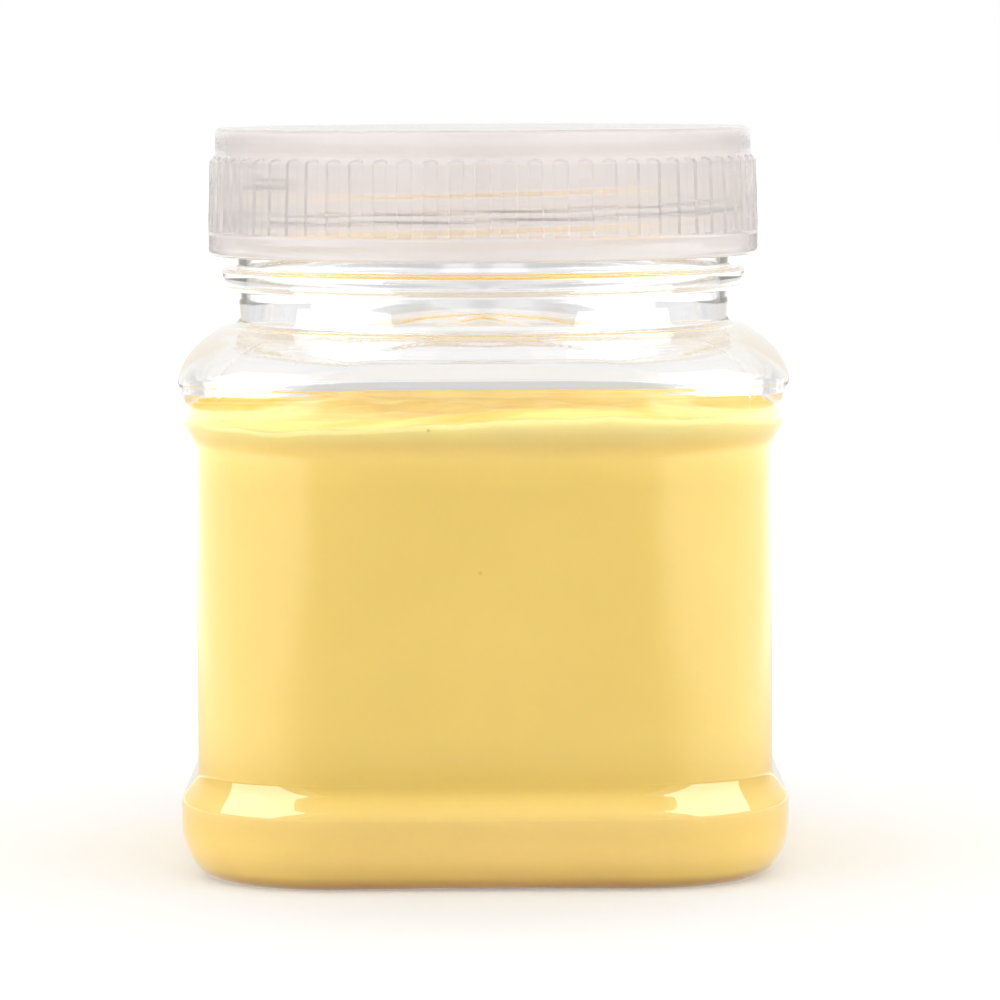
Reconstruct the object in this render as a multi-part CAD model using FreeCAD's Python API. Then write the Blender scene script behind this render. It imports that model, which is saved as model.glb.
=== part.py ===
import FreeCAD, Part
import math
import os
from FreeCAD import Vector

# A clear square-sided plastic jar with a round neck, its fluted screw lid and the thick
# spread that fills it up to the shoulder. Millimetres, +Z up. The origin is the middle of
# the base, on the surface that the jar stands on, and the front of the jar faces -Y.

# Body of the jar, a square with rounded corners in plan
body_width = 91.0        # across the flats of the shoulder, the widest level
corner_radius = 22.7     # of the upright corners, at the shoulder
body_height = 81.0       # from the standing surface to the root of the neck
waist_inset = 2.65       # of the flat panels, from the shoulder's width, each side
foot_inset = 0.2         # of the foot, from the shoulder's width, each side
foot_height = 11.0       # up to the top of the foot's upright side
foot_blend = 4.9         # height of the curve from the foot in to the panels
foot_edge_height = 8.1   # height of the rounding under the foot
foot_edge_inset = 5.1    # depth of the rounding under the foot
foot_edge_radius = 3.7   # of that rounding's lower, tighter part
shoulder_blend = 6.7     # height of the curve from the panels out to the shoulder
shoulder_band = 2.8      # height of the shoulder's upright side
shoulder_rise = 8.1      # height of the shoulder's curve, from that side to the neck
shoulder_fullness = 1.14  # 1 is a quarter ellipse, and more is leaner
blend_steepness = 1.45   # of both S-curves: 1 is a straight slope, and 2 is two arcs that meet
body_wall = 0.7
base_wall = 1.3
arch_height = 0.6        # of the low arch under each side, so that the corners are the feet
push_up_diameter = 56.0  # of the dome that rises into the base
push_up_height = 2.6

# Neck
neck_diameter = 75.5
neck_height = 27.8       # from its root to the rim
neck_wall = 1.6
shoulder_ledge = 0.15    # of the shoulder's top edge round the neck
ring_height = 5.8        # from the root of the neck to the underside of the support ring
ring_thickness = 2.8
ring_overhang = 2.15
ring_rounding = 0.6

# Screw thread
thread_pitch = 5.35
thread_finish = 6.67     # from the rim down to the middle of the ridge's upper end
thread_depth = 1.35
thread_root = 2.8        # width of the ridge at the neck
thread_crest = 1.6       # width of the ridge at its top
thread_rise = 3.7        # from the ring's top to the middle of the ridge's lower end
thread_start = 252.0     # degrees from the front, counterclockwise from above
thread_clearance = 0.4   # between the ridge's top and the bore of the lid
ridge_embed = 0.3        # depth that a ridge is rooted in its wall

# Lid
lid_height = 19.2
lid_wall = 2.5           # of the skirt, at its lower edge
lid_top = 2.0            # thickness of the top plate
lid_draft = 0.45         # of the skirt's outside, from its lower edge to the step
lid_step = 0.85          # from the skirt in to the plain band round the top
lid_step_height = 0.9
lid_band_height = 3.9    # of the plain band round the top
lid_edge = 0.8           # rounding of the top edge
seal_clearance = 0.35    # between the neck and the narrow bore that centres the lid
seal_height = 3.6        # of that narrow bore
lid_ridge_depth = 1.3
lid_ridge_root = 1.7
lid_ridge_crest = 0.9
lid_ridge_gap = 0.25     # under the neck's ridge, when the lid is screwed down
flute_count = 68
flute_width = 2.5
flute_depth = 0.45
flute_lift = 3.6         # from the lid's lower edge to the lower end of the flutes

# Filling
headspace = 12.5         # from the root of the neck down to the mean level of the top
fill_gap = 0.15          # between the filling and the wall
swell_height = 0.9       # of the broad waves on top
swell_length_x = 90.0
swell_length_y = 105.0
swell_start_x = -5.5     # where the wave along X rises through its mean level
swell_crest_y = -44.0    # where the wave along Y is at its highest
fold_height = 1.1        # of the folds that the filling nozzle leaves
fold_width = 3.2
fold_radii = (12.0, 24.0, 35.0)
fold_wander = 3.0        # of each fold, in and out from its radius
fold_wander_turn = 1.7   # radians that the wander turns from one fold to the next
fold_mean = 0.35         # share of the fold's height that it has on average
fold_change = 0.5        # share by which it rises and falls, twice round
fold_change_turn = 2.1   # radians that this turns from one fold to the next
surface_step = 3.0       # spacing of the grid under the top surface

# Levels and sizes that follow from those
half_width = body_width / 2
corner_centre = half_width - corner_radius
shoulder_z = body_height - shoulder_rise
neck_radius = neck_diameter / 2
rim_z = body_height + neck_height
ring_z = body_height + ring_height
ring_top_z = ring_z + ring_thickness
thread_z = ring_top_z + thread_rise
thread_end_z = rim_z - thread_finish
thread_radius = neck_radius + thread_depth
lid_bore = thread_radius + thread_clearance
lid_radius = lid_bore + lid_wall
lid_top_z = rim_z + lid_top
lid_bottom_z = lid_top_z - lid_height
seal_bore = neck_radius + seal_clearance
seal_z = rim_z - seal_height
funnel_z = seal_z - (lid_bore - seal_bore)
fill_z = body_height - headspace

ABOVE = 60.0             # reach of a cutting tool beyond the part
SHOULDER_SECTIONS = 7
CORNERS = 4


def point(x, z):
    return Vector(x, 0, z)


def wire_through(*stops):
    """An XZ wire. A stop is a point or an edge to join in, and straight lines fill between."""
    edges = []
    last = None
    for stop in stops:
        start = stop.Vertexes[0].Point if isinstance(stop, Part.Edge) else stop
        if last is not None and last.distanceToPoint(start) > 1e-6:
            edges.append(Part.makeLine(last, start))
        if isinstance(stop, Part.Edge):
            edges.append(stop)
            start = stop.Vertexes[-1].Point
        last = start
    return Part.Wire(edges)


def revolved(wire, turn=360.0, axis_x=0.0):
    return Part.Face(wire).revolve(point(axis_x, 0), Vector(0, 0, 1), turn)


def turned_from(start, centre, angle):
    """The arc about centre that leaves start and turns through angle, in radians."""
    stops = []
    for share in (0.0, 0.5, 1.0):
        turn = share * angle
        arm = start - centre
        swung = point(
            arm.x * math.cos(turn) - arm.z * math.sin(turn),
            arm.x * math.sin(turn) + arm.z * math.cos(turn),
        )
        stops.append(centre + swung)
    return Part.Arc(*stops).toShape()


def upright_curve(start, end):
    """An S-shaped pair of arcs, with a straight between, that leaves start and reaches end upright."""
    across = end.x - start.x
    rise = end.z - start.z
    way = math.copysign(1.0, across)
    lean = blend_steepness * math.atan2(abs(across), rise)
    radius = (rise * math.sin(lean) - abs(across) * math.cos(lean)) / (2 - 2 * math.cos(lean))
    first = turned_from(start, start + point(way * radius, 0), -way * lean)
    resume = end - (first.Vertexes[-1].Point - start)
    second = turned_from(resume, end - point(way * radius, 0), way * lean)
    return first, second


def foot_rounding(inner, low, outer, high, radius):
    """Two tangent arcs from the flat base, by way of radius, up to the foot's upright side."""
    width = outer - inner
    height = high - low
    wide = (width ** 2 + height ** 2 - 2 * height * radius) / (2 * (width - radius))
    small = point(inner, low + radius)
    large = point(outer - wide, high)
    turn = math.atan2(large.z - small.z, small.x - large.x)
    first = turned_from(point(inner, low), small, math.pi / 2 - turn)
    second = turned_from(first.Vertexes[-1].Point, large, turn)
    return first, second


def section_wire(centre, radius, z):
    """A square with rounded corners at level z, with its corner centres out by centre."""
    out = centre + radius
    edges = []
    for k in range(CORNERS):
        side = Part.makeLine(Vector(out, -centre, z), Vector(out, centre, z))
        corner = Part.makeCircle(radius, Vector(centre, centre, z), Vector(0, 0, 1), 0, 90)
        for edge in (side, corner):
            edge.rotate(Vector(0, 0, 0), Vector(0, 0, 1), 90.0 * k)
            edges.append(edge)
    return Part.Wire(edges)


def body_prism(inset, floor_z):
    """The body up to the shoulder's widest level, drawn in by inset, with its floor at floor_z."""
    foot = half_width - foot_inset - inset
    waist = half_width - waist_inset - inset
    shoulder = half_width - inset
    waist_bottom = foot_height + foot_blend
    band_z = shoulder_z - shoulder_band
    flat_end = half_width - foot_inset - foot_edge_inset
    wire = wire_through(
        point(corner_centre, floor_z),
        *foot_rounding(flat_end, floor_z, foot, foot_edge_height, foot_edge_radius - inset),
        *upright_curve(point(foot, foot_height), point(waist, waist_bottom)),
        *upright_curve(point(waist, band_z - shoulder_blend), point(shoulder, band_z)),
        point(shoulder, shoulder_z),
        point(corner_centre, shoulder_z),
        point(corner_centre, floor_z),
    )
    size = 2 * corner_centre
    block = Part.makeBox(
        size, size, shoulder_z - floor_z, Vector(-corner_centre, -corner_centre, floor_z)
    )
    pieces = []
    for k in range(CORNERS):
        side = Part.Face(wire).extrude(Vector(0, size, 0))
        side.translate(Vector(0, -corner_centre, 0))
        corner = revolved(wire, 90.0, corner_centre)
        corner.translate(Vector(0, corner_centre, 0))
        for piece in (side, corner):
            piece.rotate(Vector(0, 0, 0), Vector(0, 0, 1), 90.0 * k)
            pieces.append(piece)
    return block.fuse(pieces).removeSplitter()


def shoulder_loft(inset, inner_radius, top_z):
    """The shoulder, from the square body to a round top that is a little wider than the neck."""
    last = inner_radius + shoulder_ledge
    tip = 2 * shoulder_ledge
    wires = []
    for k in range(SHOULDER_SECTIONS):
        turn = 0.5 * math.pi * k / (SHOULDER_SECTIONS - 1)
        share = max(math.cos(turn), 0.0) ** shoulder_fullness
        centre = tip + (corner_centre - tip) * share
        out = last + (half_width - inset - last) * share
        level = shoulder_z + (top_z - shoulder_z) * math.sin(turn)
        wires.append(section_wire(centre, out - centre, level))
    return Part.makeLoft(wires, True, False)


def base_dome(extra):
    """The ball whose cap is the dome under the base, larger by extra."""
    chord = push_up_diameter / 2
    radius = (chord ** 2 + push_up_height ** 2) / (2 * push_up_height)
    return Part.makeSphere(radius + extra, Vector(0, 0, push_up_height - radius))


def side_arches():
    """Two crossing cylinders that lift the middle of each side off the standing surface."""
    radius = (corner_centre ** 2 + arch_height ** 2) / (2 * arch_height)
    cylinders = []
    for along in (Vector(1, 0, 0), Vector(0, 1, 0)):
        start = Vector(0, 0, arch_height - radius) - along * body_width
        cylinders.append(Part.makeCylinder(radius, 2 * body_width, start, along))
    return cylinders


def hollow(clearance):
    """The space inside the jar's body, drawn in all round by clearance."""
    inset = body_wall + clearance
    prism = body_prism(inset, base_wall + clearance)
    top = shoulder_loft(inset, neck_radius - neck_wall - clearance, body_height - inset)
    return prism.fuse(top).removeSplitter().cut(base_dome(base_wall + clearance))


def helix_ridge(radius, depth, root, crest, start_z, end_z, outward):
    """A right-handed screw ridge, rooted in the wall at radius and standing out or in by depth."""
    way = 1.0 if outward else -1.0
    slope = 0.5 * (root - crest) / depth
    foot_radius = radius - way * ridge_embed
    foot_half = root / 2 + slope * ridge_embed
    tip_radius = radius + way * depth
    profile = Part.makePolygon([
        point(foot_radius, -foot_half),
        point(tip_radius, -crest / 2),
        point(tip_radius, crest / 2),
        point(foot_radius, foot_half),
        point(foot_radius, -foot_half),
    ])
    spine = Part.makeHelix(thread_pitch, end_z - start_z, radius)
    ridge = Part.Wire(spine.Edges).makePipeShell([profile], True, True)
    ridge.rotate(Vector(0, 0, 0), Vector(0, 0, 1), thread_start - 90.0)
    ridge.translate(Vector(0, 0, start_z))
    return ridge


def support_ring():
    out = neck_radius + ring_overhang
    inside = neck_radius - neck_wall / 2
    turn = ring_rounding * (1 - math.sqrt(0.5))
    lower = Part.Arc(
        point(out - ring_rounding, ring_z),
        point(out - turn, ring_z + turn),
        point(out, ring_z + ring_rounding),
    )
    upper = Part.Arc(
        point(out, ring_top_z - ring_rounding),
        point(out - turn, ring_top_z - turn),
        point(out - ring_rounding, ring_top_z),
    )
    return revolved(wire_through(
        point(inside, ring_z),
        lower.toShape(),
        upper.toShape(),
        point(inside, ring_top_z),
        point(inside, ring_z),
    ))


def make_jar():
    body = body_prism(0.0, 0.0).fuse(shoulder_loft(0.0, neck_radius, body_height)).removeSplitter()
    body = body.cut(side_arches() + [base_dome(0.0)])
    root_z = body_height - 2 * body_wall
    neck = Part.makeCylinder(neck_radius, rim_z - root_z, Vector(0, 0, root_z))
    thread = helix_ridge(
        neck_radius, thread_depth, thread_root, thread_crest, thread_z, thread_end_z, True
    )
    outside = body.fuse([neck, support_ring()]).fuse(thread)
    bore_foot = Vector(0, 0, root_z - body_wall)
    bore = Part.makeCylinder(neck_radius - neck_wall, rim_z + ABOVE - root_z, bore_foot)
    return outside.cut(hollow(0.0).fuse(bore))


def make_lid():
    step_z = lid_top_z - lid_band_height
    step_radius = lid_radius - lid_draft
    band = step_radius - lid_step
    edge_turn = lid_edge * (1 - math.sqrt(0.5))
    rounding = Part.Arc(
        point(band, lid_top_z - lid_edge),
        point(band - edge_turn, lid_top_z - edge_turn),
        point(band - lid_edge, lid_top_z),
    )
    shell = revolved(wire_through(
        point(lid_bore, lid_bottom_z),
        point(lid_radius, lid_bottom_z),
        point(step_radius, step_z - lid_step_height),
        point(band, step_z),
        rounding.toShape(),
        point(0, lid_top_z),
        point(0, rim_z),
        point(seal_bore, rim_z),
        point(seal_bore, seal_z),
        point(lid_bore, funnel_z),
        point(lid_bore, lid_bottom_z),
    ))
    return shell.cut(lid_flutes()).fuse(lid_thread())


def lid_flutes():
    """The upright scoops round the skirt, which run out through the step at their upper ends."""
    scoop = ((flute_width / 2) ** 2 + flute_depth ** 2) / (2 * flute_depth)
    start_z = lid_bottom_z + flute_lift
    skirt = lid_radius - lid_draft / 2
    reach = skirt - flute_depth + scoop
    flutes = []
    for k in range(flute_count):
        turn = 2 * math.pi * k / flute_count
        place = Vector(reach * math.cos(turn), reach * math.sin(turn), start_z)
        flutes.append(Part.makeCylinder(scoop, ABOVE, place))
    return flutes


def lid_thread():
    """The lid's ridge, just under the neck's ridge all the way, up to the funnel's foot."""
    half_widths = (thread_root + thread_crest + lid_ridge_root + lid_ridge_crest) / 4
    start_z = thread_z + thread_pitch - half_widths - lid_ridge_gap
    end_z = funnel_z - lid_ridge_root / 2
    return helix_ridge(
        lid_bore, lid_ridge_depth, lid_ridge_root, lid_ridge_crest, start_z, end_z, False
    )


def surface_height(x, y):
    """Level of the filling's top at x, y: broad waves, and the folds of one slow swirl."""
    size = math.hypot(x, y)
    angle = math.atan2(y, x)
    along = math.sin(2 * math.pi * (x - swell_start_x) / swell_length_x)
    across = math.cos(2 * math.pi * (y - swell_crest_y) / swell_length_y)
    level = fill_z + swell_height * along * across
    for k, radius in enumerate(fold_radii):
        line = radius + fold_wander * math.sin(angle + k * fold_wander_turn)
        crown = math.exp(-((size - line) / fold_width) ** 2)
        share = fold_mean + fold_change * math.sin(2 * angle + k * fold_change_turn)
        level += fold_height * crown * share
    return level


def space_above_filling():
    reach = surface_step * math.ceil(half_width / surface_step + 1)
    steps = round(2 * reach / surface_step) + 1
    line = [surface_step * k - reach for k in range(steps)]
    surface = Part.BSplineSurface()
    surface.interpolate([[Vector(x, y, surface_height(x, y)) for y in line] for x in line])
    return surface.toShape().extrude(Vector(0, 0, ABOVE))


def make_filling():
    return hollow(fill_gap).cut(space_above_filling())


def main():
    os.makedirs("parts", exist_ok=True)
    for name, make in (("jar", make_jar), ("lid", make_lid), ("filling", make_filling)):
        shape = make()
        solid = shape.Solids[0]
        size = solid.BoundBox
        print(name, len(shape.Solids), "solid, valid", solid.isValid(), "volume", round(solid.Volume, 1))
        print("   from", round(size.XMin, 2), round(size.YMin, 2), round(size.ZMin, 2))
        print("   to  ", round(size.XMax, 2), round(size.YMax, 2), round(size.ZMax, 2))
        solid.exportStep("parts/" + name + ".step")


main()
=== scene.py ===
import math
import bpy
import numpy as np
from mathutils import Euler, Matrix, Vector


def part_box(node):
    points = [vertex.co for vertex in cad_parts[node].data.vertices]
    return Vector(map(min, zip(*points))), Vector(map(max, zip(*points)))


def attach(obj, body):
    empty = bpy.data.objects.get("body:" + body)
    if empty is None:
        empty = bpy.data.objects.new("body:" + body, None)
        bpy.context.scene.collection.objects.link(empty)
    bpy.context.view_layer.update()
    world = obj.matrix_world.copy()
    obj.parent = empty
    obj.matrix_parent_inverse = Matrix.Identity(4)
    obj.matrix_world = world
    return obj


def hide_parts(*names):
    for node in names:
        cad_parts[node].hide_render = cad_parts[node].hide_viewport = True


# A clear square-sided jar of thick pale spread under a frosted fluted screw lid.
# The shapes are worked out in millimetres and made in metres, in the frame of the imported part.

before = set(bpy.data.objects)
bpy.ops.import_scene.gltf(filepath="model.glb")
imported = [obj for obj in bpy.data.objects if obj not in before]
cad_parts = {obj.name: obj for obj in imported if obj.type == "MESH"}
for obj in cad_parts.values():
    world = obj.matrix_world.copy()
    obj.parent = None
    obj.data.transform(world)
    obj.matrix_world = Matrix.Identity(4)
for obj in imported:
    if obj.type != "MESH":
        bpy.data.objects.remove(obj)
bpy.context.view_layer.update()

MM = 0.001
jar_high = Vector(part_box("jar")[1]) / MM
lid_low, lid_high = (Vector(corner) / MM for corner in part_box("lid"))

# ---------------------------------------------------------------- sizes of the jar
HALF = jar_high.x
RIM_Z = jar_high.z
CORNER = HALF - 22.7          # distance of the upright corners' axes from the middle
ROOT_Z = RIM_Z - 27.8         # root of the neck
SHOULDER_Z = ROOT_Z - 8.1
SHOULDER_POWER = 1.14         # makes the shoulder a little flatter than an ellipse
BAND_Z = SHOULDER_Z - 2.8     # foot of the upright band under the shoulder
WAIST_TOP = BAND_Z - 6.7
FOOT = HALF - 0.2
WAIST = HALF - 2.65
FOOT_Z = 11.0
WAIST_Z = FOOT_Z + 4.9
FOOT_CURVE = (1.38, 0.36)     # steepness of the curve, and the lower arc's share of its radii
BAND_CURVE = (1.45, 0.5)
EDGE_Z = 8.1                  # top of the rounding under the foot
EDGE = 5.1
EDGE_RADIUS = 3.7
PUSH_UP, PUSH_UP_RADIUS = 2.6, 28.0
ARCH = 0.6                    # lift of the standing surface in the middle of each side
ARCH_FADE = 1.2               # height over which that lift dies out in the rounding
WALL = 0.7
FLOOR = 1.3                   # thickness of the jar's base
NECK = 37.75
BORE = NECK - 1.6
LIP = 0.4                     # rounding of the rim
RING_LOW, RING_HIGH = ROOT_Z + 5.8, ROOT_Z + 8.6
RING_OUT = 2.15
RING_EDGE, RING_ROOT = 0.7, 0.35              # roundings of the support ring
FILLET = 0.7
INNER_FILLET = 3.0
FILLET_STEP = 0.15            # the shoulder's curve would end this far outside the neck
INNER_TOP = ROOT_Z + 0.3      # top of the inner fillet
CORNER_END = 0.3              # the corners' axes would end this close to the middle
EVEN = 240                    # even steps round the body, with four more at each corner's seam
AROUND = EVEN + 16
SEAM = 0.16                   # spacing of the points across the mould seam's ridge
SEAM_LIFT = 0.02
SEAM_REACH = 55.0             # about the distance of the seams from the middle
SEAM_LOW, SEAM_HIGH = 2.0, ROOT_Z - 1.0


# ---------------------------------------------------------------- curves and outlines
def s_curve(z, z0, z1, a, b, steepness, share):
    """From a at z0 to b at z1 by an arc, a straight and an arc, upright at both ends.

    The lower arc has that share of the two radii together.
    """
    z = np.clip(np.asarray(z, float), z0, z1)
    across, rise = abs(b - a), z1 - z0
    lean = steepness * math.atan2(across, rise)
    both = (rise * math.sin(lean) - across * math.cos(lean)) / (1 - math.cos(lean))
    under, over = both * share, both * (1 - share)
    low, high = z - z0, z1 - z
    low_end, high_end = under * math.sin(lean), over * math.sin(lean)
    first = under - np.sqrt(under ** 2 - np.minimum(low, low_end) ** 2)
    last = across - over + np.sqrt(over ** 2 - np.minimum(high, high_end) ** 2)
    middle = under * (1 - math.cos(lean)) + (low - low_end) * math.tan(lean)
    way = np.where(low < low_end, first, np.where(high < high_end, last, middle))
    return a + (b - a) * way / across


def body_width(z):
    """Half the width of the jar's outside across the flats at z, from the foot's side up."""
    low = s_curve(z, FOOT_Z, WAIST_Z, FOOT, WAIST, *FOOT_CURVE)
    high = s_curve(z, WAIST_TOP, BAND_Z, 0.0, HALF - WAIST, *BAND_CURVE)
    return low + high


def arc(cx, cz, radius, start, end, count):
    """Points (half width, z) on an arc; angles in degrees from the outward direction, up."""
    return [(cx + radius * math.cos(math.radians(a)), cz + radius * math.sin(math.radians(a)))
            for a in np.linspace(start, end, count)]


def edge_profile(inset, low, count):
    """Points (half width, z) of the rounding under the foot: a tight arc, then a wide one."""
    inner, outer = FOOT - EDGE, FOOT - inset
    radius = EDGE_RADIUS - inset
    width, height = outer - inner, EDGE_Z - low
    wide = (width ** 2 + height ** 2 - 2 * height * radius) / (2 * (width - radius))
    small = (inner, low + radius)
    large = (outer - wide, EDGE_Z)
    turn = math.atan2(large[1] - small[1], small[0] - large[0])
    first = [(small[0] + radius * math.sin(a), small[1] - radius * math.cos(a))
             for a in np.linspace(0, math.pi / 2 - turn, count)]
    second = [(large[0] + wide * math.cos(a), large[1] - wide * math.sin(a))
              for a in np.linspace(turn, 0, count)][1:]
    return first + second


def wall_heights():
    """Heights of the rings up the wall, closer together where it curves."""
    heights = []
    for low, high, steps in ((EDGE_Z, FOOT_Z, 3), (FOOT_Z, WAIST_Z, 12), (WAIST_Z, WAIST_TOP, 4),
                             (WAIST_TOP, BAND_Z, 16), (BAND_Z, SHOULDER_Z, 3)):
        heights += list(np.linspace(low, high, steps + 1)[1:])
    return heights


def shoulder_levels(inset, neck, top, count, fillet):
    """Levels (corner axis, half width, z) up the shoulder, to the fillet at the root of the neck."""
    last = neck + FILLET_STEP
    levels = []
    for u in np.linspace(0, math.pi / 2, count)[1:]:
        share = max(math.cos(u), 0.0) ** SHOULDER_POWER
        width = last + (HALF - inset - last) * share
        if width < neck + fillet:
            break
        levels.append((CORNER_END + (CORNER - CORNER_END) * share, width,
                       SHOULDER_Z + (top - SHOULDER_Z) * math.sin(u)))
    return levels


def fillet_levels(start, neck, rise, count):
    """Levels from the shoulder's last one up a quarter turn to the neck."""
    corner, width, z = start
    levels = []
    for a in np.radians(np.linspace(0, 90, count)[1:]):
        left = 1 - math.sin(a)
        levels.append((corner * left, neck + (width - neck) * left, z + rise * (1 - math.cos(a))))
    return levels


CORNERS = math.pi / 4 + math.pi / 2 * np.arange(4)
SEAM_STEPS = np.array((-2, -1, 1, 2)) * SEAM / SEAM_REACH
TURN = np.sort(np.concatenate([2 * math.pi * np.arange(EVEN) / EVEN,
                               (CORNERS[:, None] + SEAM_STEPS).ravel()]))


def outline(corner, width):
    """XY points of a square with rounded corners, at the angles TURN about the middle."""
    x, y = np.abs(np.cos(TURN)), np.abs(np.sin(TURN))
    big, small = np.maximum(x, y), np.minimum(x, y)
    radius = width - corner
    flat = width / big
    along = corner * (big + small)
    inside = np.maximum(radius ** 2 - 2 * corner ** 2 + along ** 2, 0.0)
    round_part = along + np.sqrt(inside)
    reach = np.where(small * flat <= corner, flat, round_part)
    return np.stack([reach * np.cos(TURN), reach * np.sin(TURN)], 1)


def chord_radius(half_chord, rise):
    return (half_chord ** 2 + rise ** 2) / (2 * rise)


def arch(v):
    """Lift of the standing surface at distance v from the middle of a side."""
    radius = chord_radius(CORNER, ARCH)
    lift = ARCH - radius + np.sqrt(radius ** 2 - np.minimum(v ** 2, CORNER ** 2))
    return np.where(np.abs(v) < CORNER, lift, 0.0)


def arches(xy):
    return np.maximum(arch(xy[..., 0]), arch(xy[..., 1]))


def base_height(xy, thick=0.0):
    """Height of the base's underside at xy, or of its upper side where it is that thick."""
    radius = chord_radius(PUSH_UP_RADIUS, PUSH_UP)
    reach = radius + thick
    far = (xy ** 2).sum(-1)
    dome = PUSH_UP - radius + np.sqrt(np.maximum(reach ** 2 - far, 0.0))
    dome = np.where(far < reach ** 2, dome, -radius)
    around = thick if thick else arches(xy)
    return np.maximum(np.maximum(dome, around), 0.0)


def seam(turn):
    """1 on the crest of the faint mould seam on each upright corner."""
    off = np.abs((turn % (math.pi / 2)) - math.pi / 4)
    return np.clip(1.5 - off * SEAM_REACH / SEAM, 0.0, 1.0)


# ---------------------------------------------------------------- rings and skins
def ring_of(corner, width, z):
    """A ring of that half width at height z; round where the corner is 0."""
    xy = outline(corner, width)
    return np.column_stack([xy, np.broadcast_to(z, len(xy))])


def rings_of(corner, profile):
    return [ring_of(corner, width, z) for width, z in profile]


def round_ring(reach, z, turn=TURN):
    """A ring at height z with that distance from the axis at each angle."""
    return np.column_stack([reach * np.cos(turn), reach * np.sin(turn), np.full(len(turn), z)])


def base_rings(width, shares, thick=0.0, sink=0.0):
    """Rings on the base or its upper side, drawn in from that half width by those shares."""
    around = outline(CORNER, width)
    return [np.column_stack([around * share, base_height(around * share, thick) - sink])
            for share in shares]


def strip(low, high, around):
    """Faces between two rings, each given by the number of its first point."""
    k = np.arange(around)
    n = (k + 1) % around
    return np.stack([low + k, low + n, high + n, high + k], -1).tolist()


def fan(middle, ring, around, up=True):
    """Faces from a middle point to a ring, turned up or down."""
    k = np.arange(around)
    n = (k + 1) % around
    if not up:
        k, n = n, k
    return np.stack([np.full(around, middle), ring + k, ring + n], -1).tolist()


def skin(name, points, faces):
    """A smooth mesh object through points in millimetres."""
    mesh = bpy.data.meshes.new(name)
    mesh.from_pydata((points * MM).tolist(), [], faces)
    mesh.update()
    mesh.polygons.foreach_set("use_smooth", np.ones(len(mesh.polygons), bool))
    obj = bpy.data.objects.new(name, mesh)
    bpy.context.scene.collection.objects.link(obj)
    return obj


def closed_skin(name, rings, first, last):
    """A skin through the rings, with fans to the points (0, 0, first) and (0, 0, last)."""
    rings = np.array(rings)
    levels, around = rings.shape[:2]
    faces = []
    for level in range(levels - 1):
        faces += strip(level * around, (level + 1) * around, around)
    points = np.vstack([rings.reshape(-1, 3), [(0, 0, first), (0, 0, last)]])
    middle = levels * around
    faces += fan(middle, 0, around, up=False)
    faces += fan(middle + 1, (levels - 1) * around, around)
    return skin(name, points, faces)


# ---------------------------------------------------------------- screw thread
PITCH = 5.35
LAPS = 3                      # enough turns for either thread
RUN_OUT = 7.0                 # length over which a thread fades at its ends
THREAD_START = math.radians(162.0)
THREAD_Z = RING_HIGH + 3.7
THREAD_RISE = RIM_Z - 6.67 - THREAD_Z
JAR_THREAD = (2.8, 1.6, 1.35)         # width at the root, width at the crest, depth
LID_THREAD = (1.7, 0.9, 1.3)
JAR_THREAD_STEP = 0.25                # height between the rings of each thread
LID_THREAD_STEP = 0.4
THREAD_PLAY = 0.25                    # gap between the flanks of the two threads


def ridge(z, turn, start_z, rise, root, crest, depth):
    """How far a screw ridge stands off its wall at height z and angle turn."""
    height = np.zeros(np.broadcast(z, turn).shape)
    first = (turn - THREAD_START) % (2 * math.pi)
    for lap in range(LAPS):
        climb = (first / (2 * math.pi) + lap) * PITCH
        inside = (climb >= 0) & (climb <= rise)
        end = np.minimum(climb, rise - climb) / PITCH * 2 * math.pi * NECK
        taper = np.clip(end / RUN_OUT, 0.0, 1.0)
        off = np.abs(z - start_z - climb)
        slope = np.clip((root / 2 - off) / ((root - crest) / 2), 0.0, 1.0)
        slope = slope * slope * (3 - 2 * slope)
        height = np.maximum(height, np.where(inside, depth * slope * np.sqrt(taper), 0.0))
    return height


# ---------------------------------------------------------------- jar
def body_outside():
    """Rings from the middle of the base up the outside to the root of the neck."""
    edge = edge_profile(0.0, 0.0, 10)
    rings = base_rings(edge[0][0], np.linspace(0.03, 1.0, 20)[:-1])
    for width, z in edge:
        ring = ring_of(CORNER, width, z)
        ring[:, 2] = np.maximum(z, arches(ring) * math.exp(-z / ARCH_FADE))
        rings.append(ring)
    rings += [ring_of(CORNER, body_width(z), z) for z in wall_heights()]
    levels = shoulder_levels(0.0, NECK, ROOT_Z, 48, FILLET)
    run = levels[-1][1] - NECK
    levels += fillet_levels(levels[-1], NECK, run, 10)
    return rings + [ring_of(*level) for level in levels]


def neck_outside(root_top):
    """Rings up the outside of the neck: the support ring, the thread and the rim's outer half."""
    out = NECK + RING_OUT
    profile = [(NECK, z) for z in np.linspace(root_top, RING_LOW, 8)[1:-1]]
    profile += arc(NECK + RING_ROOT, RING_LOW - RING_ROOT, RING_ROOT, 180, 90, 4)
    profile += arc(out - RING_EDGE, RING_LOW + RING_EDGE, RING_EDGE, -90, 0, 7)
    profile += arc(out - RING_EDGE, RING_HIGH - RING_EDGE, RING_EDGE, 0, 90, 7)
    profile += arc(NECK + RING_ROOT, RING_HIGH + RING_ROOT, RING_ROOT, 270, 180, 4)
    rings = rings_of(0.0, profile)
    for z in np.arange(RING_HIGH + RING_ROOT + 0.2, RIM_Z - LIP - 0.05, JAR_THREAD_STEP):
        stand = ridge(z, TURN, THREAD_Z, THREAD_RISE, *JAR_THREAD)
        rings.append(round_ring(NECK + stand, z))
    return rings + rings_of(0.0, arc(NECK - LIP, RIM_Z - LIP, LIP, 0, 90, 5))


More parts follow.
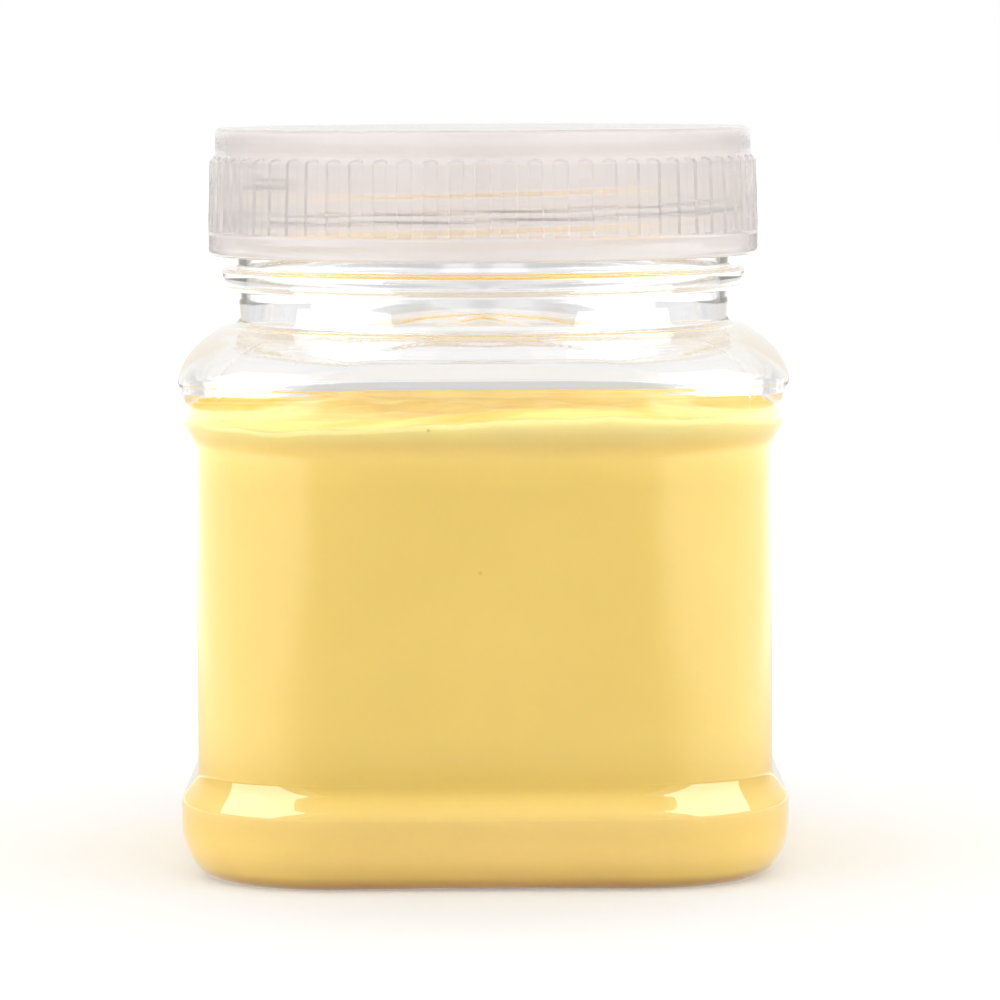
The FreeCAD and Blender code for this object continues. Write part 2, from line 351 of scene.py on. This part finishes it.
def jar_inside():
    """Rings from the rim down the bore and the inside of the body to the middle of its floor."""
    profile = arc(BORE + LIP, RIM_Z - LIP, LIP, 90, 180, 5)
    profile += [(BORE, z) for z in np.linspace(RIM_Z - LIP, INNER_TOP + 0.1, 8)[1:]]
    levels = shoulder_levels(WALL, BORE, ROOT_Z - WALL, 34, INNER_FILLET)
    rise = INNER_TOP - levels[-1][2]
    levels += fillet_levels(levels[-1], BORE, rise, 14)[:-1]
    rings = rings_of(0.0, profile) + [ring_of(*level) for level in reversed(levels)]
    rings += [ring_of(CORNER, body_width(z) - WALL, z) for z in reversed(wall_heights()[:-1])]
    edge = edge_profile(WALL, FLOOR, 8)
    rings += rings_of(CORNER, reversed(edge))
    return rings + base_rings(edge[0][0], np.linspace(1.0, 0.04, 14)[1:], FLOOR)


def raise_seams(rings):
    """Lifts the faint mould seam along each upright corner of the body."""
    reach = np.hypot(rings[:, :, 0], rings[:, :, 1])
    body = (rings[:, :, 2] > SEAM_LOW) & (rings[:, :, 2] < SEAM_HIGH)
    lift = SEAM_LIFT * seam(np.arctan2(rings[:, :, 1], rings[:, :, 0])) * body
    rings[:, :, :2] *= (1 + lift / np.maximum(reach, 1.0))[:, :, None]


def make_jar():
    body = np.array(body_outside())
    root_top = body[-1, 0, 2]
    raise_seams(body)
    rings = [*body, *neck_outside(root_top), *jar_inside()]
    middle = np.zeros(2)
    return closed_skin("jar_shell", rings, base_height(middle), base_height(middle, FLOOR))


# ---------------------------------------------------------------- lid
LID_OUT = 42.0
LID_BORE = 39.5
LID_TOP = lid_high.z
LID_LOW = lid_low.z
LID_INNER_LIP, LID_LIP, LID_EDGE = 0.3, 0.5, 0.8
LID_DRAFT = 0.45              # how far the skirt draws in on its way up
LID_STEP = 0.85               # how far the step at the skirt's top draws in
STEP_Z = LID_TOP - 3.9        # top of that step
SKIRT_TOP = STEP_Z - 0.9
LID_BAND = LID_OUT - LID_DRAFT - LID_STEP
FLUTES = 68
FLUTE = 0.30                  # where a flute's side begins, as a share of the pitch
FLUTE_SIDE = 0.025            # width of that side, in the same share
FLUTE_DEPTH = 0.45
FLUTE_LOW = LID_LOW + 3.6
ARCH_SOFT = 0.12              # share of the step over which a flute's arched end rises
SEAL = NECK + 0.35            # radius of the lid's inside over the rim
SEAL_Z = RIM_Z - 3.6
FUNNEL_Z = SEAL_Z - (LID_BORE - SEAL)
STEPS = np.array((-0.40, -0.325, -0.30, -0.275, -0.25, -0.1, 0.0,
                  0.1, 0.25, 0.275, 0.30, 0.325, 0.40, 0.5))
LID_STEPS = (np.arange(FLUTES)[:, None] + STEPS).ravel()
LID_TURN = 2 * math.pi * LID_STEPS / FLUTES
FROM_FLUTE = np.abs(LID_STEPS - np.round(LID_STEPS))      # from the middle of the nearest flute
SUNK = FLUTE_DEPTH * np.clip((FLUTE - FROM_FLUTE) / FLUTE_SIDE, 0.0, 1.0)


def plain(width, z):
    return round_ring(width, z, LID_TURN)


def fluted(width, z, amount=1.0):
    return round_ring(width - SUNK * amount, z, LID_TURN)


def skirt(z):
    """Radius of the skirt's outside at height z."""
    return LID_OUT - LID_DRAFT * (z - LID_LOW) / (SKIRT_TOP - LID_LOW)


def step_rings():
    """Rings up the slope of the step, on which each flute runs out in a round arch."""
    foot = SKIRT_TOP - 0.3
    upright = 0.12            # share of the height before the slope draws in
    arch_top = 0.25 + 0.45 * np.sqrt(np.maximum(1 - (FROM_FLUTE / FLUTE) ** 2, 0.0))
    rings = []
    for share in np.linspace(0, 1, 9):
        slope = max(0.0, (share - upright) / (1 - upright))
        width = skirt(foot) + (LID_BAND - skirt(SKIRT_TOP)) * slope
        amount = np.clip((arch_top - share) / ARCH_SOFT, 0.0, 1.0)
        rings.append(fluted(width, foot + (STEP_Z - foot) * share, amount))
    return rings


def lid_outside():
    """Rings from the skirt's lower edge up the outside to the middle of the top."""
    edge = arc(LID_BORE + LID_INNER_LIP, LID_LOW + LID_INNER_LIP, LID_INNER_LIP, 180, 270, 4)
    edge += arc(LID_OUT - LID_LIP, LID_LOW + LID_LIP, LID_LIP, -90, 0, 6)
    rings = [plain(width, z) for width, z in edge]
    rings += [plain(skirt(z), z) for z in np.linspace(LID_LOW + LID_LIP, FLUTE_LOW, 7)[1:]]
    # the flutes begin just above their lower end
    for rise, amount in ((0.0, 0.0), (0.1, 0.1), (0.2, 0.9), (0.3, 1.0)):
        rings.append(fluted(skirt(FLUTE_LOW + rise), FLUTE_LOW + rise, amount))
    rings += [fluted(skirt(z), z) for z in np.linspace(FLUTE_LOW + 0.5, SKIRT_TOP - 0.35, 4)]
    rings += step_rings()
    flat = LID_BAND - LID_EDGE
    rings += [plain(LID_BAND, z) for z in np.linspace(STEP_Z, LID_TOP - LID_EDGE, 6)[1:]]
    rings += [plain(width, z) for width, z in arc(flat, LID_TOP - LID_EDGE, LID_EDGE, 0, 90, 8)[1:]]
    return rings + [plain(flat * share, LID_TOP) for share in np.linspace(1, 0.03, 9)[1:]]


def lid_inside():
    """Rings from the middle of the plate's underside, which rests on the rim, down the thread."""
    flat = SEAL - LID_INNER_LIP
    profile = [(flat * share, RIM_Z) for share in np.linspace(0.03, 1, 8)]
    profile += arc(flat, RIM_Z - LID_INNER_LIP, LID_INNER_LIP, 90, 0, 4)[1:]
    profile += [(SEAL, z) for z in np.linspace(RIM_Z - LID_INNER_LIP, SEAL_Z, 5)[1:]]
    profile += [(SEAL + (LID_BORE - SEAL) * share, SEAL_Z + (FUNNEL_Z - SEAL_Z) * share)
                for share in np.linspace(0, 1, 6)[1:]]
    rings = [plain(width, z) for width, z in profile]
    # the lid's thread lies under the jar's, half a mean width of each away
    apart = sum((*JAR_THREAD[:2], *LID_THREAD[:2])) / 4
    start_z = THREAD_Z + PITCH - apart - THREAD_PLAY
    rise = FUNNEL_Z - LID_THREAD[0] / 2 - start_z
    for z in np.arange(FUNNEL_Z - 0.2, LID_LOW + LID_INNER_LIP, -LID_THREAD_STEP):
        rings.append(plain(LID_BORE - ridge(z, LID_TURN, start_z, rise, *LID_THREAD), z))
    return rings


def make_lid():
    """The outside and the inside meet at the skirt's lower edge; fans close the plate's two sides."""
    outside = lid_outside()
    rings = np.array(outside + lid_inside())
    levels, around = rings.shape[:2]
    top, under = len(outside) - 1, len(outside)
    faces = []
    for level in range(levels):
        if level != top:
            faces += strip(level * around, (level + 1) % levels * around, around)
    points = np.vstack([rings.reshape(-1, 3), [(0, 0, LID_TOP), (0, 0, RIM_Z)]])
    middle = levels * around
    faces += fan(middle, top * around, around)
    faces += fan(middle + 1, under * around, around, up=False)
    return skin("lid_shell", points, faces)


# ---------------------------------------------------------------- filling
FILL_SINK = 0.12              # the spread reaches this far into the jar's wall and floor
FILL_GAP = WALL - FILL_SINK   # and ends this far inside the jar's outside
TOP_EDGE = HALF - 2.0         # about the spread's half width at its top
TOP_MARGIN = 0.05             # share of the top over which the relief grows from its edge
LEVEL = 68.5                  # mean level of the spread's top
WAVE, WAVE_X, WAVE_Y = 0.9, 90.0, 105.0       # height and lengths of the broad waves
FOLD_RADII = (12.0, 24.0, 35.0)
FOLD, FOLD_WIDTH, FOLD_SWAY = 1.1, 3.2, 3.0   # height, width and sway of the swirl's folds
SWELL, SWELL_LENGTH = 0.55, 13.0              # height and length of the ripples across it
RIPPLE, FINE_RIPPLE = 0.22, 0.10


def top_level(x, y):
    """Level of the spread's top: broad waves, the folds of a slow swirl, and small ripples."""
    size = np.hypot(x, y)
    angle = np.arctan2(y, x)
    across = np.sin(2 * math.pi * (x + 5.5) / WAVE_X)
    level = LEVEL + WAVE * across * np.cos(2 * math.pi * (y + 44.0) / WAVE_Y)
    for k, radius in enumerate(FOLD_RADII):
        line = radius + FOLD_SWAY * np.sin(angle + 1.7 * k)
        crown = np.exp(-((size - line) / FOLD_WIDTH) ** 2)
        level = level + FOLD * crown * (0.35 + 0.5 * np.sin(2 * angle + 2.1 * k))
    drift = y + 4.0 * np.sin(x / 13.0 + 0.4) + 1.8 * np.sin(x / 5.1 + 1.0)
    swell = np.maximum(np.sin(2 * math.pi * drift / SWELL_LENGTH), 0.0) ** 1.5
    level = level + SWELL * swell * (0.6 + 0.4 * np.sin(x / 9.0))
    level = level + RIPPLE * np.sin(0.45 * x + 1.1 * np.sin(0.21 * y)) * np.cos(0.33 * y + 0.7)
    return level + FINE_RIPPLE * np.sin(1.15 * x + 0.8 * y) * np.sin(0.9 * y - 0.4 * x + 1.3)


def make_filling():
    """The spread, and a mark for each of its faces: 1 on the top, 0 elsewhere."""
    edge = edge_profile(FILL_GAP, FLOOR - FILL_SINK, 10)
    rings = base_rings(edge[0][0], np.linspace(0.04, 1.0, 24)[:-1], FLOOR, FILL_SINK)
    rings += rings_of(CORNER, edge)
    top_edge = outline(CORNER, TOP_EDGE)
    rim = top_level(top_edge[:, 0], top_edge[:, 1])
    for share in np.linspace(0, 1, 72)[1:]:
        z = EDGE_Z + (rim - EDGE_Z) * share
        rings.append(ring_of(CORNER, body_width(z) - FILL_GAP, z))
    last = rings[-1]
    walls = (len(rings) - 1) * AROUND
    for share in np.linspace(1, 0.02, 84)[1:]:
        xy = last[:, :2] * share
        level = top_level(xy[:, 0], xy[:, 1])
        near = np.clip((1 - share) / TOP_MARGIN, 0, 1)
        rings.append(np.column_stack([xy, last[:, 2] + (level - last[:, 2]) * near]))
    low = base_height(np.zeros(2), FLOOR) - FILL_SINK
    obj = closed_skin("filling_body", rings, low, float(top_level(0.0, 0.0)))
    marks = np.zeros(len(obj.data.polygons), int)
    marks[walls:] = 1
    marks[-2 * AROUND:-AROUND] = 0        # the fan under the base
    return obj, marks


# ---------------------------------------------------------------- node trees
class Graph:
    """The node tree of a material or of the world, emptied, with short ways to fill it."""

    def __init__(self, tree):
        self.nodes, self.links = tree.nodes, tree.links
        self.nodes.clear()

    def add(self, kind, inputs, **settings):
        """The outputs of a new node. Each input is a constant or the output that feeds it."""
        node = self.nodes.new("ShaderNode" + kind)
        for name, value in settings.items():
            setattr(node, name, value)
        for key, value in inputs.items():
            if isinstance(value, bpy.types.NodeSocket):
                self.links.new(value, node.inputs[key])
            else:
                node.inputs[key].default_value = value
        return node.outputs

    def math(self, operation, *values):
        return self.add("Math", dict(enumerate(values)), operation=operation)[0]

    def place(self):
        """Where a point is, in metres."""
        return self.add("TexCoord", {})["Object"]

    def part(self, vector, axis):
        return self.add("SeparateXYZ", {"Vector": vector})[axis]

    def away(self, vector, axis):
        """Distance from the middle along an axis."""
        return self.math("ABSOLUTE", self.part(vector, axis))

    def ranged(self, value, start, end, low=0.0, high=1.0, kind="SMOOTHSTEP"):
        """From low to high while the value goes from start to end."""
        inputs = {"Value": value, "From Min": start, "From Max": end, "To Min": low, "To Max": high}
        return self.add("MapRange", inputs, interpolation_type=kind)["Result"]

    def noise(self, vector, scale, detail, roughness):
        inputs = {"Vector": vector, "Scale": scale, "Detail": detail, "Roughness": roughness}
        return self.add("TexNoise", inputs)["Fac"]

    def bump(self, height, strength, distance):
        inputs = {"Height": height, "Strength": strength, "Distance": distance}
        return self.add("Bump", inputs)["Normal"]

    def ramp(self, value, stops):
        node = self.nodes.new("ShaderNodeValToRGB")
        self.links.new(value, node.inputs["Fac"])
        elements = node.color_ramp.elements
        while len(elements) > 1:
            elements.remove(elements[-1])
        elements[0].position, elements[0].color = stops[0][0], (*stops[0][1], 1)
        for height, color in stops[1:]:
            elements.new(height).color = (*color, 1)
        return node.outputs["Color"]

    def blend(self, factor, first, second, **settings):
        """A mix of two colours."""
        inputs = {"Factor": factor, "A": first, "B": second}
        return self.add("Mix", inputs, data_type="RGBA", **settings)["Result"]

    def mix(self, factor, first, second):
        """A mix of two shaders."""
        return self.add("MixShader", {0: factor, 1: first, 2: second})[0]

    def early(self, kind):
        """1 for rays of that kind that have met no matt surface on their way."""
        path = self.add("LightPath", {})
        return self.math("MULTIPLY", path[kind], self.math("LESS_THAN", path["Diffuse Depth"], 0.5))


def new_material(name):
    material = bpy.data.materials.new(name)
    material.use_nodes = True
    graph = Graph(material.node_tree)
    return material, graph


# ---------------------------------------------------------------- materials
GUIDED = 2.5                  # light that has bounced more often than this in a wall is lost,
LONG = 9.5                    # and so is light with more bounces of any kind than this
SEAM_LINE = 0.25 * MM         # distance over which the bump of a seam's line dies out
SEAM_BUMP = 0.02              # its height as a share of the waves' bump


def soft_ends(graph, shader, shade, end_glow):
    """The shader, see-through in that shade for lamps; paths cut short in a wall end in a painted
    glow of the rest tone.
    """
    path = graph.add("LightPath", {})
    clear = graph.add("BsdfTransparent", {"Color": (*shade, 1)})[0]
    shown = graph.mix(path["Is Shadow Ray"], shader, clear)
    guided = graph.math("GREATER_THAN", path["Glossy Depth"], GUIDED)
    long = graph.math("GREATER_THAN", path["Ray Depth"], LONG)
    painted_glow = graph.add("Emission", {"Color": (*end_glow, 1)})[0]
    return graph.mix(graph.math("MAXIMUM", guided, long), shown, painted_glow)


def plastic(name, surface, relief, shade, end_glow):
    """A see-through plastic, with a relief that comes from where the point is."""
    material, graph = new_material(name)
    normal = relief(graph, graph.place())
    shader = graph.add("BsdfPrincipled", {**surface, "Normal": normal})["BSDF"]
    graph.add("OutputMaterial", {"Surface": soft_ends(graph, shader, shade, end_glow)})
    return material


def slow_waves(graph, place):
    """The waves of a blown wall, and a fine line along each mould seam."""
    x, y = graph.away(place, "X"), graph.away(place, "Y")
    off = graph.math("ABSOLUTE", graph.math("SUBTRACT", x, y))
    line = graph.math("EXPONENT", graph.math("MULTIPLY", off, -1 / SEAM_LINE))
    waves = graph.noise(place, scale=38.0, detail=2.0, roughness=0.4)
    height = graph.math("MULTIPLY_ADD", line, SEAM_BUMP, waves)
    return graph.bump(height, strength=0.06, distance=0.002)


def grain(graph, place, scale=900.0):
    fine = graph.noise(place, scale, detail=3.0, roughness=0.6)
    return graph.bump(fine, strength=0.15, distance=0.0002)


def clear_plastic():
    surface = {"Base Color": (0.985, 0.985, 0.99, 1), "Roughness": 0.02, "IOR": 1.57,
               "Transmission Weight": 1.0}
    # the rest tone is a painted glow that stands in for light lost in the wall
    return plastic("clear_plastic", surface, slow_waves,
                   shade=(0.93, 0.93, 0.94), end_glow=(0.87, 0.78, 0.62))


def frosted_plastic():
    surface = {"Base Color": (0.955, 0.914, 0.9, 1), "Roughness": 0.13, "IOR": 1.49,
               "Transmission Weight": 0.66}
    # the rest tone is a painted glow, light enough to brighten the lid's thick sides
    return plastic("frosted_plastic", surface, grain,
                   shade=(0.8, 0.78, 0.77), end_glow=(0.96, 0.91, 0.89))


# painted shade in the spread's pinhole bubbles
PINHOLE_SHADE_COLOR = (0.55, 0.36, 0.06, 1)
PINHOLE_EDGE, PINHOLE_CORE = 0.034, 0.018     # in the voronoi texture's own distance
PINHOLE_DEPTH = 0.6                           # how much of that colour shows in the core
BANDS_TOP = 70 * MM


def spread(name, low, high, stretch, roughness, specular, painted_bands=None):
    """The matt spread: a cloudy tone from low to high, with painted light and shade by height if
    given.
    """
    material, graph = new_material(name)
    place = graph.place()
    cloud_place = graph.add("Mapping", {"Vector": place, "Scale": stretch})[0]
    cloud = graph.noise(cloud_place, scale=45.0, detail=5.0, roughness=0.55)
    color = graph.ramp(cloud, [(0.3, low), (0.7, high)])
    if painted_bands:
        # painted light and shade by height, multiplied into the tone
        height = graph.math("DIVIDE", graph.part(place, "Z"), BANDS_TOP)
        color = graph.blend(1.0, color, graph.ramp(height, painted_bands), blend_type="MULTIPLY")
    # sparse pinhole bubbles, with painted shade in their hollows
    cells = graph.add("TexVoronoi", {"Vector": place, "Scale": 75.0})["Distance"]
    hole = graph.math("MULTIPLY", graph.ranged(cells, PINHOLE_EDGE, PINHOLE_CORE), PINHOLE_DEPTH)
    surface = {
        "Base Color": graph.blend(hole, color, PINHOLE_SHADE_COLOR),
        "Roughness": roughness, "IOR": 1.45, "Specular IOR Level": specular,
        "Subsurface Weight": 0.3, "Subsurface Scale": 0.004, "Subsurface Radius": (1.0, 0.75, 0.35),
        "Normal": grain(graph, place, 600.0),
    }
    graph.add("OutputMaterial", {"Surface": graph.add("BsdfPrincipled", surface)["BSDF"]})
    return material


# painted light and shade on the spread's wall, by the share of BANDS_TOP: a painted dark contact line
# at the bottom, painted floor light on the lower foot, painted shade and reflection in the curve
# above the foot, a plain middle, and a pale band of painted light and reflection under the top
SPREAD_PAINTED_SHADING = [(0.007, (0.8, 0.52, 0.15)), (0.036, (1.15, 1.1, 0.98)), (0.07, (1.1, 1.06, 1.15)),
                (0.115, (0.93, 0.9, 0.94)), (0.16, (0.87, 0.85, 0.98)), (0.205, (0.8, 0.78, 0.75)),
                (0.227, (0.82, 0.79, 0.62)), (0.25, (0.85, 0.83, 0.7)), (0.275, (0.87, 0.86, 0.79)),
                (0.33, (0.905, 0.9, 0.85)), (0.84, (0.905, 0.9, 0.83)), (0.885, (0.96, 0.96, 0.92)),
                (0.93, (1.06, 1.1, 1.3)), (0.965, (1.1, 1.25, 1.9))]


def spread_wall():
    return spread("spread_wall", low=(0.83, 0.635, 0.17), high=(0.86, 0.66, 0.19),
                  stretch=(1.0, 1.0, 1.0), roughness=0.6, specular=0.1, painted_bands=SPREAD_PAINTED_SHADING)


# the spread's top: painted darker than the wall, as shade against the stronger lamp light on it; its
# orange-brown cloud is partly its own tone and partly painted shade in the swirl's folds
def spread_top_painted_shade():
    return spread("spread_top_painted_shade", low=(0.74, 0.455, 0.065), high=(0.89, 0.67, 0.18),
                  stretch=(1.2, 3.6, 1.0), roughness=0.55, specular=0.2)


# ---------------------------------------------------------------- the pieces
jar = make_jar()
lid = make_lid()
filling, filling_marks = make_filling()
for obj, node, slot, material in (
    (jar, "jar", "clear_plastic", clear_plastic()),
    (lid, "lid", "frosted_plastic", frosted_plastic()),
    (filling, "filling", "spread", spread_wall()),
):
    obj.data.materials.append(material)
    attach(obj, "root")
    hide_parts(node)

filling.data.materials.append(spread_top_painted_shade())
filling.data.polygons.foreach_set("material_index", filling_marks)

# ---------------------------------------------------------------- floor
FLOOR_SIDE = 6.0
FLOOR_COLOR = (0.72, 0.72, 0.72, 1)
# what the floor gives off, as (start and end in metres, level at the start, level at the end)
CAMERA_GLOW = (0.06, 0.25, 0.24, 0.52)        # by distance from the jar's middle, as seen straight
GLASS_GLOW = (0.05, 1.6, 0.5, 0.6)            # the same, as seen through clear plastic
TABLE = (0.75, 1.1, 0.9, 0.72)                # the white table and the dim studio beyond, in a shine
FLAGS = (0.6, 1.0, 1.0, 0.35)                 # dark flags far out on both sides, in a shine
SHEET_EDGES = ((0.08, 0.28), (0.8, 0.68))     # sheets of light on both sides, in a shine
SHEET_LEVEL = 1.1


def white_floor():
    material, graph = new_material("white_floor")
    place = graph.place()
    far = graph.add("VectorMath", {0: place}, operation="LENGTH")["Value"]
    aside = graph.away(place, "X")
    glows = []
    for kind, levels in (("Is Camera Ray", CAMERA_GLOW), ("Is Transmission Ray", GLASS_GLOW)):
        by_distance = graph.ranged(far, *levels, kind="LINEAR")
        glows.append(graph.math("MULTIPLY", by_distance, graph.early(kind)))
    glow = graph.add("Emission", {"Strength": graph.math("ADD", *glows)})[0]
    diffuse = graph.add("BsdfDiffuse", {"Color": FLOOR_COLOR})[0]
    lit = graph.add("AddShader", {0: diffuse, 1: glow})[0]
    in_shine = graph.early("Is Glossy Ray")
    sheet = in_shine
    for start, end in SHEET_EDGES:
        sheet = graph.math("MULTIPLY", sheet, graph.ranged(aside, start, end))
    plain_level = graph.math("MULTIPLY", graph.ranged(far, *TABLE), graph.ranged(aside, *FLAGS))
    shine_level = graph.math("MULTIPLY_ADD", sheet, SHEET_LEVEL, plain_level)
    shine = graph.add("Emission", {"Strength": shine_level})[0]
    graph.add("OutputMaterial", {"Surface": graph.mix(in_shine, lit, shine)})
    return material


floor_mesh = bpy.data.meshes.new("floor")
floor_corners = [(x * FLOOR_SIDE, y * FLOOR_SIDE, 0) for x, y in ((-1, -1), (1, -1), (1, 1), (-1, 1))]
floor_mesh.from_pydata(floor_corners, [], [(0, 1, 2, 3)])
floor = bpy.data.objects.new("floor", floor_mesh)
bpy.context.scene.collection.objects.link(floor)
floor_mesh.materials.append(white_floor())

# ---------------------------------------------------------------- world
# by the direction (X to the right, Y to the back, Z up) as (start, end, level at each)
BACKDROP = (-0.1, 0.6, 0.66, 1.35)            # the white backdrop lights more than the room's front
CEILING = (0.02, 0.12)                        # the ceiling and the front wall are dark in a shine
FRONT = (0.15, -0.35)
DARKEST = 0.45
SIDES = (0.45, 0.85, 1.0, 0.6)                # and the room's sides dim it further


def make_world():
    world = bpy.data.worlds.new("studio")
    bpy.context.scene.world = world
    world.use_nodes = True
    graph = Graph(world.node_tree)

    def background(strength):
        return graph.add("Background", {"Color": (1, 1, 1, 1), "Strength": strength})[0]

    way = graph.add("TexCoord", {})["Generated"]
    back = graph.part(way, "Y")
    dark = graph.math("MULTIPLY", graph.ranged(graph.part(way, "Z"), *CEILING),
                      graph.ranged(back, *FRONT))
    dimmed = graph.ranged(dark, 0.0, 1.0, 1.0, DARKEST, "LINEAR")
    in_shine = graph.math("MULTIPLY", dimmed, graph.ranged(graph.away(way, "X"), *SIDES))
    shown = background(graph.ranged(back, *BACKDROP))
    for kind, strength in (("Is Transmission Ray", 1.0), ("Is Glossy Ray", in_shine),
                           ("Is Camera Ray", 1.0)):
        shown = graph.mix(graph.early(kind), shown, background(strength))
    graph.add("OutputWorld", {"Surface": shown})


make_world()

# ---------------------------------------------------------------- lamps
LAMP_AIM = Vector((0, 0, 0.05))
LAMP_ELEVATION = math.radians(31)
SHINE_AZIMUTH = 70
BOX_AZIMUTH = SHINE_AZIMUTH * 0.72


def softbox(name, azimuth, distance, size, radiance):
    """A square soft lamp of that radiance, turned to the middle of the jar."""
    a, e = math.radians(azimuth), LAMP_ELEVATION
    way = Vector((math.sin(a) * math.cos(e), -math.cos(a) * math.cos(e), math.sin(e)))
    light = bpy.data.lights.new(name, "AREA")
    light.shape = "RECTANGLE"
    light.size, light.size_y = size, size
    light.energy = radiance * math.pi * size * size
    obj = bpy.data.objects.new(name, light)
    obj.location = LAMP_AIM + way * distance
    obj.rotation_euler = way.to_track_quat("Z", "Y").to_euler()
    obj.visible_camera = False
    bpy.context.scene.collection.objects.link(obj)
    return obj


# the boxes light everything, and the shines are for the jar's highlights
shiny = bpy.data.collections.new("shiny")
shiny.objects.link(jar)
for side, sign in (("left", -1), ("right", 1)):
    softbox(side + "_box", sign * BOX_AZIMUTH, distance=1.0, size=1.1, radiance=0.7)
    shine = softbox(side + "_shine", sign * SHINE_AZIMUTH, distance=0.95, size=1.05, radiance=5.2)
    shine.visible_diffuse = False
    shine.light_linking.receiver_collection = shiny

# ---------------------------------------------------------------- camera
CAMERA_PLACE = (0, -0.79865, 0.12088)
CAMERA_DOWN, CAMERA_ROLL = 4.80, -0.26        # degrees

camera_data = bpy.data.cameras.new("camera")
camera_data.lens = 188.5
camera_data.sensor_width = 36.0
camera_data.shift_x = 0.0158
camera_data.clip_start, camera_data.clip_end = 0.05, 50
camera = bpy.data.objects.new("camera", camera_data)
camera.location = CAMERA_PLACE
tilt = Euler((math.radians(90 - CAMERA_DOWN), 0, 0)).to_matrix()
roll = Matrix.Rotation(math.radians(CAMERA_ROLL), 3, "Z")
camera.rotation_euler = (tilt @ roll).to_euler()
bpy.context.scene.collection.objects.link(camera)
bpy.context.scene.camera = camera
bpy.context.scene.view_settings.view_transform = "Standard"

bpy.context.view_layer.update()
